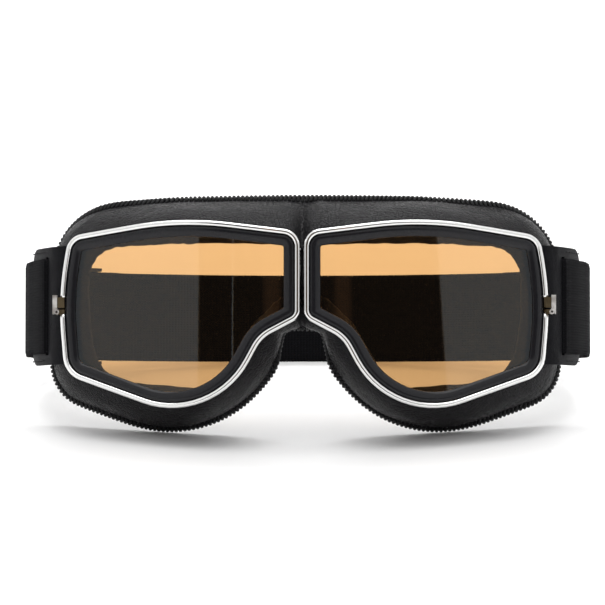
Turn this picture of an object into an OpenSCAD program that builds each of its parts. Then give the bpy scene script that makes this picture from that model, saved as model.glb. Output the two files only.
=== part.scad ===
// Vintage split-lens motorcycle goggles: two chrome eyepieces hinged at the nose, a padded leather mask
// with an overlocked edge, and an elastic strap with two sliders.
//
// Everything is drawn upright first: X runs across the face (+X is the wearer's left), Y runs back from
// the nose hinge towards the head, Z runs up from the strap's centre line. stand() then leans the goggles
// back on the table, so that they rest on both cheeks and on the back of the strap.

/* [Front frame] */
// Radius of the wrap that the rims and lenses share
wrap_r = 150; // [145:1:160]
// Width of the chrome rim, seen from the front
rim_w = 1.9; // [1.6:0.1:2.2]
// Depth of the chrome rim, front to back
rim_depth = 5.4; // [5.2:0.1:5.6]
// Distance from the rim's outer edge to the clear lens
sight_inset = 5.6; // [5:0.1:6]
// Thickness of the lens
lens_t = 2; // [1.6:0.1:2.2]
// Gap between the two rims at the nose
nose_gap = 1.2; // [1:0.1:1.4]

/* [Mask] */
// Depth from the nose hinge plane to the mask's back edge at the middle of the brow
mask_depth = 24; // [22:1:26]
// How much further back the mask's edge lies at the temples
mask_wrap = 20; // [19:0.5:21]
// How much further forward the mask's edge lies on the bridge of the nose
nose_relief = 11; // [9:1:12]
// Thickness of the leather cover
leather_t = 1.2; // [1:0.1:1.4]
// Radius of the overlocked edge
edge_r = 1.2; // [1:0.1:1.3]

/* [Strap] */
// Width of the elastic strap
strap_w = 33; // [31:1:34]
// Thickness of one layer of the strap
strap_t = 1.1; // [1:0.05:1.2]
// Height of the leather tab that carries the strap
tab_h = 40.8; // [40:0.2:42]
// Half of the width across the middle of the strap's two sides
strap_half = 100.6; // [100:0.1:101]
// Angle of each slider round its corner of the strap
slider_at = 45; // [40:1:48]

/* [Hidden] */
$fn = 96;

CHROME = [0.82, 0.82, 0.8];
RUBBER = [0.1, 0.1, 0.11];
LENS = [0.85, 0.62, 0.36, 0.5];
STEEL = [0.22, 0.22, 0.23];
LEATHER = [0.09, 0.085, 0.09];
FOAM = [0.16, 0.16, 0.17];
FLEECE = [0.12, 0.12, 0.12];
THREAD = [0.05, 0.05, 0.05];
ELASTIC = [0.07, 0.07, 0.08];
PLASTIC = [0.08, 0.08, 0.08];

// Corners of a rim's outer edge as [x, z, radius], clockwise from the top of the nose.
RIM = [
    [nose_gap / 2, 26.3, 6], [41, 31.4, 122], [80.8, 25.7, 6.5], [84.7, 5.5, 99],
    [82.2, -21.6, 9.5], [30, -40.1, 30], [13.5, -9.7, 12.4], [nose_gap / 2, -2.9, 4.5]
];
// One half of the mask, from the brow to the nose: where it meets the rim, its stitched back edge, and
// the inside edge of its padding. All three have the same corners, so they match point by point.
BROW_X = 7;
NOSE_X = 3;
MASK_FRONT = [
    [41, 31.4, 122], [80.8, 25.7, 6.5], [84.7, 5.5, 99], [82.2, -21.6, 9.5], [30, -40.1, 30],
    [13.5, -9.7, 12.4], [8.5, -7, 8]
];
MASK_EDGE = [
    [43, 38.6, 316], [85.4, 36.3, 24], [88.8, 4, 150], [87.7, -28.4, 15], [28.8, -49.6, 43.7],
    [7.2, -19.2, 24], [7.4, -6, 3.2]
];
MASK_INSIDE = [
    [43, 23, 300], [73.5, 21.8, 10], [74.5, -1, 90], [71.5, -17.5, 8], [31, -29.5, 14],
    [17, -4, 10], [7.5, 5, 4]
];
MASK_FRONT_ENDS = [[BROW_X, 27.1], [NOSE_X, -4.17]];
MASK_EDGE_ENDS = [[BROW_X, 38.9], [NOSE_X, -6]];
MASK_INSIDE_ENDS = [[BROW_X, 22.6], [NOSE_X, 5.2]];

// Depths behind the front of the rim.
bead_depth = 3;
lens_front = 1.8;
gasket_front = 0.5;
ring_front = 5.42;
ring_back = 6.7;
foam_front = 7;
cover_front = bead_depth + 0.3;
rim_wall = 1;
lens_inset = sight_inset - 1.6;
fit_gap = 0.02;

// Nose hinge, on a vertical axis behind the rims.
hinge_y = 8.4;
knuckle_r = 1.4;
pin_r = 0.75;
hinge_low = 4;
hinge_high = 20;
leaf_y = 6.85;
leaf_t = 0.7;
rivet_front = 5.56;

// Temple latch: two lugs between the rim's cut ends, and a clip that swings down off the upper one.
latch_z = 1.9;
latch_gap = 5.8;
lug_h = 1.6;
high_lug_h = 3.6;
lug_x = [82.3, 85.6];
lug_y = [25.9, 28.1];
latch_pin = [84.95, latch_z - latch_gap / 2 + lug_h / 2];
latch_pin_r = 0.4;
latch_top = latch_z + latch_gap / 2 + 0.75;
cheek_t = 0.4;
clip_x = [84.8, 85.9, 86.35];

// Strap path in plan: a side arc, a corner arc and a back arc that run into each other.
side_r = 91.6;
corner_r = 55;
corner_turn = 64;
strap_y = 80;
side_c = [strap_half - side_r, strap_y];
corner_c = [strap_half - corner_r, strap_y];
back_r = (corner_c.x + corner_r * cos(corner_turn)) / cos(corner_turn);
back_c = [0, strap_y + (corner_r - back_r) * sin(corner_turn)];
return_end = 60;

// The strap passes through a slot in the leather tab and doubles back behind it.
tab_t = 1.2;
ply_gap = tab_t + strap_t + 0.1;
tab_r = side_r - ply_gap / 2;
tab_y = [34, 54];
tab_slot = strap_w + 0.8;
fold_at = -27.3;
slider_len = 15;
slider_bar = 2.6;
rail_h = 1.2;
bar_t = 1.1;

// The strap runs slightly downhill from the tabs to the back of the head.
strap_fall = 0.82;
strap_lift = 0.57;
strap_end = back_c.y + back_r;

// Standing on the table: the lean that brings the cheeks and the back of the strap to one level.
cheek = [30.5, -42.1];
strap_rest = [
    strap_end + strap_t / 2 - strap_w / 2 * sin(strap_fall), strap_lift - strap_w / 2
];
flat_cut = 0.35;
lean = atan((strap_rest.y - cheek.y) / (strap_rest.x - cheek.x));
stand_z = -(cheek.y * cos(lean) - cheek.x * sin(lean)) - flat_cut;
centre_y = 71.4;

// ---------------------------------------------------------------- outlines

function unit(v) = v / norm(v);
function cross2(a, b) = a.x * b.y - a.y * b.x;
function xz(c) = [c[0], c[1]];
function right_of(v) = [v.y, -v.x];

// Where the line through a and b meets the line through c and d.
function meet(a, b, c, d) = a + (b - a) * cross2(c - a, d - c) / cross2(b - a, d - c);

// Moves every side of a clockwise corner list inwards by d, and keeps its corners round.
function inset(corners, d) =
    let (n = len(corners))
    [for (i = [0 : n - 1])
        let (
            p = xz(corners[(i + n - 1) % n]), q = xz(corners[i]), s = xz(corners[(i + 1) % n]),
            a = right_of(unit(q - p)) * d,
            b = right_of(unit(s - q)) * d,
            m = meet(p + a, q + a, q + b, s + b),
            turns_right = cross2(q - p, s - q) < 0,
            r = turns_right ? max(corners[i][2] - d, 0.8) : corners[i][2] + d
        )
        [m.x, m.y, r]];

// Points round one corner q, between its neighbours p and s.
function corner_arc(p, q, s, r, steps) =
    let (
        u = unit(p - q), v = unit(s - q), half = acos(u * v) / 2,
        c = q + unit(u + v) * r / sin(half),
        from = q + u * r / tan(half) - c, to = q + v * r / tan(half) - c,
        a = atan2(from.y, from.x), b = atan2(to.y, to.x),
        turn = b - a > 180 ? b - a - 360 : b - a < -180 ? b - a + 360 : b - a
    )
    [for (i = [0 : steps]) c + r * [cos(a + turn * i / steps), sin(a + turn * i / steps)]];

// A closed outline with round corners.
function closed_outline(corners, steps = 8) =
    let (n = len(corners))
    [for (i = [0 : n - 1])
        each corner_arc(xz(corners[(i + n - 1) % n]), xz(corners[i]), xz(corners[(i + 1) % n]),
            corners[i][2], steps)];

// An open path with the same number of points for any corner list of the same length.
function open_path(corners, ends, arc_steps = 4, line_steps = 3) =
    let (
        n = len(corners),
        arcs = [for (i = [0 : n - 1])
            corner_arc(i == 0 ? ends[0] : xz(corners[i - 1]), xz(corners[i]),
                i == n - 1 ? ends[1] : xz(corners[i + 1]), corners[i][2], arc_steps)],
        stops = concat([[ends[0]]], arcs, [[ends[1]]])
    )
    [for (i = [0 : len(stops) - 1])
        each i == len(stops) - 1 ? stops[i] : concat(stops[i],
            [for (k = [1 : line_steps - 1])
                stops[i][len(stops[i]) - 1] * (1 - k / line_steps) + stops[i + 1][0] * k / line_steps])];

// The inward normal at point i of an open path.
function inward(path, i) =
    right_of(unit(path[min(i + 1, len(path) - 1)] - path[max(i - 1, 0)]));

// ---------------------------------------------------------------- surfaces

// Depth of the wrapped front, a given distance behind its face.
function wrap_y(x, behind = 0) = wrap_r - sqrt(pow(wrap_r - behind, 2) - x * x);

// Depth of the face where the mask's padding touches it.
function face_y(p) =
    mask_depth + mask_wrap * pow(p.x / 89.3, 2)
    - nose_relief * exp(-pow(p.x / 13, 2)) / (1 + exp((p.y - 12) / 4));

// A point beside the rim: in from its outline, and behind its face.
function beside_rim(path, i, in, behind) =
    let (p = path[i] + inward(path, i) * in) [p.x, wrap_y(p.x, behind), p.y];

// A point on the face side: in from the path, and in front of the face.
function on_face(path, i, in, ahead) =
    let (p = path[i] + inward(path, i) * in) [p.x, face_y(p) - ahead, p.y];

// A closed solid through a row of matching sections. Each four-sided face is split along one diagonal.
module loft(sections, flip = false) {
    n = len(sections);
    k = len(sections[0]);
    sides = [for (i = [0 : n - 2], j = [0 : k - 1])
        let (a = i * k + j, b = i * k + (j + 1) % k, c = b + k, d = a + k)
        each flip ? [[a, b, d], [b, c, d]] : [[a, b, c], [a, c, d]]];
    first = [for (j = [1 : k - 2]) [0, j + 1, j]];
    last = [for (j = [1 : k - 2]) [(n - 1) * k, (n - 1) * k + j, (n - 1) * k + j + 1]];
    polyhedron(points = [for (s = sections) each s], faces = concat(sides, first, last));
}

// An upright plate cut to a closed outline, as deep as the front frame.
module plate(corners) {
    translate([0, 60, 0])
        rotate([90, 0, 0])
            linear_extrude(62)
                polygon(closed_outline(corners));
}

// The layer of the wrapped front between two depths.
module layer(front, back) {
    translate([0, wrap_r, -60])
        difference() {
            cylinder(r = wrap_r - front, h = 120, $fn = 360);
            translate([0, 0, -1]) cylinder(r = wrap_r - back, h = 122, $fn = 360);
        }
}

// A ring between two insets of the rim's outline, within one layer.
module rim_ring(outer, inner, front, back) {
    intersection() {
        difference() {
            plate(inset(RIM, outer));
            plate(inset(RIM, inner));
        }
        layer(front, back);
    }
}

// A band that stands on edge along an arc in plan.
module arc_band(c, r, from, to, thick, high) {
    translate([c.x, c.y, 0])
        rotate([0, 0, from])
            rotate_extrude(angle = to - from, $fn = 180)
                translate([r - thick / 2, -high / 2]) square([thick, high]);
}

function on_arc(c, r, at) = c + r * [cos(at), sin(at)];

module block(x, y, z) {
    translate([x[0], y[0], z[0]]) cube([x[1] - x[0], y[1] - y[0], z[1] - z[0]]);
}

module stand() {
    translate([0, -centre_y, stand_z]) rotate([-lean, 0, 0]) children();
}

// Places the strap, and all that is on it, at its slight fall.
module strap_place() {
    translate([0, strap_end, strap_lift]) rotate([-strap_fall, 0, 0]) translate([0, -strap_end, 0])
        children();
}

// Stands a soft part on the table and flattens what it rests on.
module stand_flat() {
    intersection() {
        stand() children();
        translate([-150, -150, 0]) cube([300, 300, 150]);
    }
}

// ---------------------------------------------------------------- front frame

module rim() {
    color(CHROME)
        difference() {
            union() {
                rim_ring(rim_w - rim_wall, rim_w, 0, rim_depth);
                rim_ring(0, rim_w - rim_wall + 0.01, 0, bead_depth);
            }
            block([75, 90], [15, 45], [latch_z - latch_gap / 2, latch_z + latch_gap / 2]);
        }
}

// The lugs on the two ends of the cut rim, the lower one drilled for the latch pin.
module rim_lugs() {
    low = latch_z - latch_gap / 2;
    high = latch_z + latch_gap / 2;
    color(CHROME) {
        difference() {
            union() {
                block([lug_x[0], latch_pin.x], lug_y, [low, low + lug_h]);
                translate([latch_pin.x, lug_y[0], latch_pin.y])
                    rotate([-90, 0, 0]) cylinder(r = lug_h / 2, h = lug_y[1] - lug_y[0]);
            }
            translate([latch_pin.x, lug_y[0] - 1, latch_pin.y])
                rotate([-90, 0, 0]) cylinder(r = latch_pin_r + fit_gap, h = 5);
        }
        block(lug_x, lug_y, [high - high_lug_h, high]);
    }
}

module latch_pin() {
    color(CHROME)
        translate([latch_pin.x, lug_y[0] - cheek_t - 0.3, latch_pin.y])
            rotate([-90, 0, 0]) cylinder(r = latch_pin_r, h = lug_y[1] - lug_y[0] + 2 * cheek_t + 0.6);
}

// The swinging clip: two cheeks on the pin, an outer plate and a hook over the upper lug.
module latch() {
    near = lug_y[0] - 0.1 - cheek_t;
    far = lug_y[1] + 0.1 + cheek_t;
    color(CHROME)
        difference() {
            union() {
                for (y = [near, far - cheek_t]) {
                    block([clip_x[0], clip_x[2]], [y, y + cheek_t], [latch_pin.y, latch_top]);
                    translate([latch_pin.x, y, latch_pin.y])
                        rotate([-90, 0, 0]) cylinder(r = 0.9, h = cheek_t);
                }
                block([clip_x[1], clip_x[2]], [near, far], [latch_pin.y - 0.8, latch_top]);
                block([clip_x[0], clip_x[2]], [near, far], [latch_top - 0.6, latch_top]);
            }
            translate([latch_pin.x, near - 1, latch_pin.y])
                rotate([-90, 0, 0]) cylinder(r = latch_pin_r + 0.05, h = 6);
        }
}

module gasket() {
    color(RUBBER)
        difference() {
            rim_ring(rim_w + fit_gap, sight_inset, gasket_front, rim_depth);
            intersection() {
                plate(inset(RIM, lens_inset - fit_gap));
                layer(lens_front - fit_gap, lens_front + lens_t + fit_gap);
            }
        }
}

module lens() {
    color(LENS)
        intersection() {
            plate(inset(RIM, lens_inset));
            layer(lens_front, lens_front + lens_t);
        }
}

// The steel ring behind the gasket, drilled for the hinge rivets.
module backing_ring() {
    color(STEEL)
        difference() {
            rim_ring(rim_w - rim_wall + 0.2, sight_inset - 0.7, ring_front, ring_back);
            rivet_shanks(0.72);
        }
}

// ---------------------------------------------------------------- nose hinge

module rivet_shanks(r) {
    for (z = [hinge_low + 3.5, hinge_high - 3.5])
        translate([3.4, rivet_front, z])
            rotate([-90, 0, 0]) cylinder(r = r, h = leaf_y + leaf_t - rivet_front);
}

module hinge_rivets() {
    color(CHROME) {
        rivet_shanks(0.7);
        for (z = [hinge_low + 3.5, hinge_high - 3.5])
            translate([3.4, leaf_y + leaf_t, z])
                rotate([-90, 0, 0]) cylinder(r1 = 1.3, r2 = 0.8, h = 0.6, $fn = 48);
    }
}

// One leaf of the hinge. Its knuckles fill the given stretches of the pin.
module hinge_leaf(knuckles) {
    color(STEEL)
        difference() {
            union() {
                block([1.9, 5.3], [leaf_y, leaf_y + leaf_t], [hinge_low, hinge_high]);
                for (k = knuckles) {
                    block([0.6, 2], [leaf_y, leaf_y + leaf_t], k);
                    translate([0, hinge_y, k[0]]) cylinder(r = knuckle_r, h = k[1] - k[0], $fn = 64);
                }
            }
            translate([0, hinge_y, hinge_low - 1])
                cylinder(r = pin_r + 0.05, h = hinge_high - hinge_low + 2, $fn = 48);
            rivet_shanks(0.72);
        }
}

module hinge_pin() {
    color(CHROME) {
        translate([0, hinge_y, hinge_low - 0.5])
            cylinder(r = pin_r, h = hinge_high - hinge_low + 1, $fn = 48);
        for (z = [hinge_low - 0.5, hinge_high + 0.1])
            translate([0, hinge_y, z]) cylinder(r = pin_r + 0.35, h = 0.4, $fn = 48);
    }
}

// ---------------------------------------------------------------- mask

front = open_path(MASK_FRONT, MASK_FRONT_ENDS);
edge = open_path(MASK_EDGE, MASK_EDGE_ENDS);
inside = open_path(MASK_INSIDE, MASK_INSIDE_ENDS);
steps = [0 : len(front) - 1];

module cover() {
    color(LEATHER)
        loft([for (i = steps) [
            beside_rim(front, i, -0.3, cover_front),
            on_face(edge, i, 0, 0),
            on_face(edge, i, leather_t, 0),
            beside_rim(front, i, rim_w - rim_wall - 0.1, cover_front)
        ]]);
}

module foam() {
    color(FOAM)
        loft([for (i = steps) [
            beside_rim(front, i, 0.9, foam_front),
            on_face(edge, i, leather_t + 0.1, 1),
            on_face(inside, i, 0, 1),
            beside_rim(front, i, 4, foam_front)
        ]]);
}

module lining() {
    color(FLEECE)
        loft([for (i = steps) [
            on_face(edge, i, leather_t + 0.1, 0.85),
            on_face(edge, i, leather_t + 0.1, 0),
            on_face(inside, i, 0, 0),
            on_face(inside, i, 0, 0.85)
        ]], flip = true);
}

// The overlocked edge, as one round cord just behind the edge of the leather.
module edge_stitching() {
    color(THREAD)
        loft([for (i = steps) let (n = inward(edge, i), c = on_face(edge, i, 0.3, -edge_r - 0.05))
            [for (a = [0 : 60 : 300])
                c + edge_r * [-n.x * cos(a), sin(a), -n.y * cos(a)]]]);
}

// The soft middle of the mask, which bends and crumples when the eyepieces fold.
module bridge_pad(half, outer_z, edge_z, inside_z, inner_z) {
    color(LEATHER)
        loft([for (x = half * [-1, -0.5, 0, 0.5, 1])
            [
                [x, wrap_y(x, cover_front), outer_z],
                [x, face_y([x, edge_z]), edge_z],
                [x, face_y([x, inside_z]), inside_z],
                [x, wrap_y(x, foam_front), inner_z],
                [x, wrap_y(x, foam_front), outer_z]
            ]]);
}

// ---------------------------------------------------------------- strap

// The tab, with the slot that the strap passes through. Its front end is closed onto the mask's side.
module tab() {
    color(LEATHER) {
        difference() {
            intersection() {
                arc_band(side_c, tab_r, -35, 0, tab_t, tab_h);
                translate([70, 0, 0])
                    rotate([90, 0, 90])
                        linear_extrude(40)
                            polygon(closed_outline([
                                [tab_y[0], tab_h / 2, 1], [tab_y[1], tab_h / 2, 7],
                                [tab_y[1], -tab_h / 2, 7], [tab_y[0], -tab_h / 2, 1]
                            ]));
            }
            arc_band(side_c, tab_r, fold_at - 1.25, fold_at, tab_t + 1, tab_slot);
        }
        translate([0, 0, -tab_h / 2])
            linear_extrude(tab_h)
                polygon([[85.15, 30.4], [85.75, 30.4], [87.4, tab_y[0] + 0.05], [86.2, tab_y[0] + 0.05]]);
    }
}

// The thread along the tab's two long edges.
module tab_stitches() {
    color(THREAD)
        for (a = [-26.4 : 1.3 : -19], s = [-1, 1])
            translate([0, 0, s * (tab_h / 2 - 1.3)])
                arc_band(side_c, tab_r + tab_t / 2 + 0.2, a, a + 0.9, 0.4, 0.5);
}

// Points along an arc in plan, one every few degrees.
function arc_points(c, r, from, to, n) = [for (i = [0 : n]) on_arc(c, r, from + (to - from) * i / n)];

// A band that stands on edge between two outlines in plan.
module ribbon(one, other) {
    n = len(other);
    translate([0, 0, -strap_w / 2])
        linear_extrude(strap_w)
            polygon(concat(one, [for (i = [1 : n]) other[n - i]]));
}

// One face of a layer of the strap along the side and round the corner, moved out by a distance.
function layer_face(out, end) = concat(
    arc_points(side_c, side_r + out, fold_at, 0, 10),
    [for (i = [1 : 26]) on_arc(corner_c, corner_r + out, end * i / 26)]);

function fold_face(r) = arc_points(on_arc(side_c, tab_r, fold_at), r, fold_at, fold_at - 180, 12);

module strap() {
    color(ELASTIC)
        ribbon(layer_face(strap_t / 2, corner_turn), layer_face(-strap_t / 2, corner_turn));
}

// The inner layer: through the slot, back along the inside of the strap and through the slider.
module strap_return() {
    color(ELASTIC)
        ribbon(
            concat(fold_face((ply_gap + strap_t) / 2), layer_face(-ply_gap - strap_t / 2, return_end)),
            concat(fold_face((ply_gap - strap_t) / 2), layer_face(-ply_gap + strap_t / 2, return_end)));
}

module strap_back() {
    color(ELASTIC)
        arc_band(back_c, back_r, corner_turn, 180 - corner_turn, strap_t, strap_w);
}

// A three-bar slider. Its outer bars lie over the strap and its middle bar between the two layers.
module slider() {
    half = slider_len / 2 / corner_r * 180 / PI;
    bar = slider_bar / corner_r * 180 / PI;
    inner_r = corner_r - ply_gap / 2;
    outer_r = corner_r + strap_t / 2 + 0.1 + bar_t / 2;
    rail_z = strap_w / 2 + 0.2 + rail_h / 2;
    color(PLASTIC) {
        for (s = [-1, 1])
            translate([0, 0, s * rail_z])
                arc_band(corner_c, (inner_r + outer_r) / 2, slider_at - half, slider_at + half,
                    outer_r - inner_r + bar_t + 0.2, rail_h);
        arc_band(corner_c, inner_r, slider_at - bar / 2, slider_at + bar / 2, bar_t, strap_w + 1);
        for (a = [slider_at - half + 0.25, slider_at + half - bar - 0.25])
            arc_band(corner_c, outer_r, a, a + bar, bar_t, strap_w + 1);
    }
}

// ---------------------------------------------------------------- both sides

// The wearer's left side is drawn as it is, and the right side is its mirror image.
module side(name) {
    children();
    mirror([1, 0, 0]) children();
}

stand() {
    side("rim") rim();
    side("rim_lugs") rim_lugs();
    side("latch") latch();
    side("latch_pin") latch_pin();
    side("gasket") gasket();
    side("lens") lens();
    side("backing_ring") backing_ring();
    side("hinge_rivets") hinge_rivets();
    side("cover") cover();
    side("foam") foam();
    side("lining") lining();
    side("tab") strap_place() tab();
    side("tab_stitches") strap_place() tab_stitches();
    side("strap") strap_place() strap();
    side("strap_return") strap_place() strap_return();
    side("slider") strap_place() slider();
    hinge_leaf([[hinge_low, 9], [15, hinge_high]]);  // left_hinge_leaf
    mirror([1, 0, 0]) hinge_leaf([[9.1, 14.9]]);  // right_hinge_leaf
    hinge_pin();
    bridge_pad(BROW_X - 0.1, 27.7, 39.3, 24.6, 23.4);  // brow_pad
    bridge_pad(NOSE_X - 0.1, -4.8, -5.6, 5.2, -0.8);  // nose_pad
}
side("edge_stitching") stand_flat() edge_stitching();
stand_flat() strap_place() strap_back();
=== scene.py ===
import math
import random

import bmesh
import bpy
import numpy as np
from mathutils import Matrix, Vector


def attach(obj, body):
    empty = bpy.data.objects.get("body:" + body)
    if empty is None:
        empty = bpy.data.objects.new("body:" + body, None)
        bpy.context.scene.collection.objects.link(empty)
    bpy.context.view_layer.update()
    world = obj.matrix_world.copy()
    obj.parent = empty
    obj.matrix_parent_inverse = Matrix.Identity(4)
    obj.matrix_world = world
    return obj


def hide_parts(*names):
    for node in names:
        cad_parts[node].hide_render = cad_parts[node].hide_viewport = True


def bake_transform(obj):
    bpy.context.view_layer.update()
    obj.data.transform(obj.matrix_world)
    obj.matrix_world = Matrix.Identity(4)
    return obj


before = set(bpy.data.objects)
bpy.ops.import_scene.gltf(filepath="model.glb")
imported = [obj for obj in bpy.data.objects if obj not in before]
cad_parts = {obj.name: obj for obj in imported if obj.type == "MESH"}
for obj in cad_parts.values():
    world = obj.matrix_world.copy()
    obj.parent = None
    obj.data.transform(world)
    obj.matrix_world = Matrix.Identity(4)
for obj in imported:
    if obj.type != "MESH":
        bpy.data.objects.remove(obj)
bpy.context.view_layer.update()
random.seed(7)
rng = np.random.default_rng(7)

# ------------------------------------------------------------------ the goggles' own upright frame, in mm
# X to the wearer's left, Y back from the nose hinge, Z up from the strap's centre line.
WRAP_R, LENS_T = 150.0, 2.0
MASK_DEPTH, MASK_WRAP, NOSE_RELIEF = 24.0, 20.0, 11.0
LENS_FRONT = 1.8
STRAP_W, STRAP_T, TAB_T, TAB_H, STRAP_HALF = 33.0, 1.1, 1.2, 40.8, 100.6
CORNER_R, SIDE_R, TURN, STRAP_Y = 55.0, 91.6, 64.0, 80.0
PLY = TAB_T + STRAP_T + 0.1
TAB_R = SIDE_R - PLY / 2
FOLD_AT, RETURN_END = -27.3, 60.0
LATCH_Z, LATCH_GAP = 1.9, 5.8
SIDE_C = np.array([STRAP_HALF - SIDE_R, STRAP_Y])
CORNER_C = np.array([STRAP_HALF - CORNER_R, STRAP_Y])
BACK_R = (CORNER_C[0] + CORNER_R * math.cos(math.radians(TURN))) / math.cos(math.radians(TURN))
BACK_C = np.array([0.0, STRAP_Y + (CORNER_R - BACK_R) * math.sin(math.radians(TURN))])
FALL, LIFT, STRAP_END = math.radians(0.82), 0.57, BACK_C[1] + BACK_R
CHEEK = (30.5, -42.1)
REST = (STRAP_END + STRAP_T / 2 - STRAP_W / 2 * math.sin(FALL), LIFT - STRAP_W / 2)
LEAN = math.atan((REST[1] - CHEEK[1]) / (REST[0] - CHEEK[0]))
CL, SL = math.cos(LEAN), math.sin(LEAN)
STAND_Z, CENTRE_Y = -(CHEEK[1] * CL - CHEEK[0] * SL) - 0.35, 71.4

# Outlines by their corners, as (x, z, radius), clockwise from the top of the nose: the rim's outer edge,
# then where the leather meets the rim, the mask's stitched edge, and the inside edge of the padding.
RIM = [(0.6, 26.3, 6), (41, 31.4, 122), (80.8, 25.7, 6.5), (84.7, 5.5, 99), (82.2, -21.6, 9.5),
       (30, -40.1, 30), (13.5, -9.7, 12.4), (0.6, -2.9, 4.5)]
FRONT = RIM[1:7] + [(8.5, -7, 8)]
EDGE = [(43, 38.6, 316), (85.4, 36.3, 24), (88.8, 4, 150), (87.7, -28.4, 15), (28.8, -49.6, 41),
        (9.4, -19.2, 12), (6.8, -5.8, 3.8)]
INSIDE = [(43, 23, 300), (73.5, 21.8, 10), (74.5, -1, 90), (70, -23.5, 14), (30, -26.5, 10),
          (17, -4, 10), (7.5, 5, 4)]


def to_row(p):
    """Points in mm in the goggles' own frame, as metres in the row frame."""
    p = np.asarray(p, float)
    x, y, z = p[..., 0], p[..., 1], p[..., 2]
    return np.stack([x, y * CL + z * SL - CENTRE_Y, -y * SL + z * CL + STAND_Z], -1) / 1000


def fallen(p):
    """The strap, and all that is on it, at its slight fall towards the back."""
    p = np.asarray(p, float)
    d, z = p[..., 1] - STRAP_END, p[..., 2]
    c, k = math.cos(FALL), math.sin(FALL)
    return np.stack([p[..., 0], STRAP_END + d * c + z * k, LIFT - d * k + z * c], -1)


def row_vec(x, y, z):
    return Vector((x, y * CL + z * SL, -y * SL + z * CL))


def wrap_y(x, behind=0.0):
    return WRAP_R - np.sqrt(np.maximum((WRAP_R - behind) ** 2 - np.square(x), 1.0))


def face_y(x, z):
    return (MASK_DEPTH + MASK_WRAP * np.square(np.asarray(x) / 89.3)
            - NOSE_RELIEF * np.exp(-np.square(np.asarray(x) / 13)) / (1 + np.exp((np.asarray(z) - 12) / 4)))


def unit(v):
    return v / np.linalg.norm(v)


def fillet(p, q, s, r, n):
    p, q, s = (np.array(a[:2], float) for a in (p, q, s))
    u, v = unit(p - q), unit(s - q)
    half = math.acos(float(np.clip(u @ v, -1, 1))) / 2
    c = q + unit(u + v) * r / math.sin(half)
    f, t = q + u * r / math.tan(half) - c, q + v * r / math.tan(half) - c
    a, b = math.atan2(f[1], f[0]), math.atan2(t[1], t[0])
    d = (b - a + math.pi) % (2 * math.pi) - math.pi
    return [c + r * np.array([math.cos(a + d * i / n), math.sin(a + d * i / n)]) for i in range(n + 1)]


def inset(corners, d):
    """Every side of a clockwise outline moved inwards by d, its corners kept round."""
    n, out = len(corners), []
    for i in range(n):
        p, q, s = (np.array(corners[k % n][:2], float) for k in (i - 1, i, i + 1))
        a, b = unit(q - p), unit(s - q)
        na, nb = np.array([a[1], -a[0]]) * d, np.array([b[1], -b[0]]) * d
        crossing = abs(a[0] * b[1] - a[1] * b[0]) > 1e-9
        m = np.linalg.solve(np.array([a, -b]).T, (q + nb) - (p + na)) if crossing else [0, 0]
        c = p + na + a * m[0]
        right = a[0] * b[1] - a[1] * b[0] < 0
        out.append((c[0], c[1], max(corners[i][2] - d, 0.8) if right else corners[i][2] + d))
    return out


def between(a, b, n):
    return [a + (b - a) * k / n for k in range(1, n)]


def closed_outline(corners, d=0.0, arc=14, line=10):
    """Points round an outline. Every inset of the same outline gives matching points."""
    c = inset(corners, d) if d else corners
    n = len(c)
    arcs = [fillet(c[i - 1], c[i], c[(i + 1) % n], c[i][2], arc) for i in range(n)]
    pts = []
    for i in range(n):
        pts += arcs[i] + between(arcs[i][-1], arcs[(i + 1) % n][0], line)
    return np.array(pts)


def open_outline(corners, ends, arc=16, line=8):
    n = len(corners)
    arcs = [[np.array(ends[0], float)]]
    for i in range(n):
        arcs.append(fillet(ends[0] if i == 0 else corners[i - 1], corners[i],
                           ends[1] if i == n - 1 else corners[i + 1], corners[i][2], arc))
    arcs.append([np.array(ends[1], float)])
    pts = []
    for i, a in enumerate(arcs):
        pts += list(a)
        if i < len(arcs) - 1:
            pts += between(a[-1], arcs[i + 1][0], line)
    return np.array(pts)


# ------------------------------------------------------------------ mesh helpers

def new_mesh(name, verts, faces, material, row=True, smooth=True, mats=None, face_mats=None):
    me = bpy.data.meshes.new(name)
    me.from_pydata([tuple(v) for v in (to_row(verts) if row else verts)], [], faces)
    me.validate()
    bm = bmesh.new()
    bm.from_mesh(me)
    bmesh.ops.recalc_face_normals(bm, faces=bm.faces)
    bm.to_mesh(me)
    bm.free()
    me.polygons.foreach_set("use_smooth", [smooth] * len(me.polygons))
    ob = bpy.data.objects.new(name, me)
    bpy.context.scene.collection.objects.link(ob)
    for m in (mats or [material]):
        me.materials.append(m)
    if face_mats is not None:
        me.polygons.foreach_set("material_index", face_mats)
    return ob


def grid_faces(rows, cols, close_rows=False, close_cols=True):
    faces = []
    for i in range(rows if close_rows else rows - 1):
        a, b = i * cols, ((i + 1) % rows) * cols
        for j in range(cols if close_cols else cols - 1):
            k = (j + 1) % cols
            faces.append((a + j, a + k, b + k, b + j))
    return faces


def sweep(name, sections, material, close=False, caps=True, **kw):
    """A solid through matching closed sections."""
    sections = np.asarray(sections, float)
    r, c = sections.shape[:2]
    faces = grid_faces(r, c, close_rows=close)
    if not close and caps:
        faces += [tuple(range(c - 1, -1, -1)), tuple((r - 1) * c + j for j in range(c))]
    return new_mesh(name, sections.reshape(-1, 3), faces, material, **kw)


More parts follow.
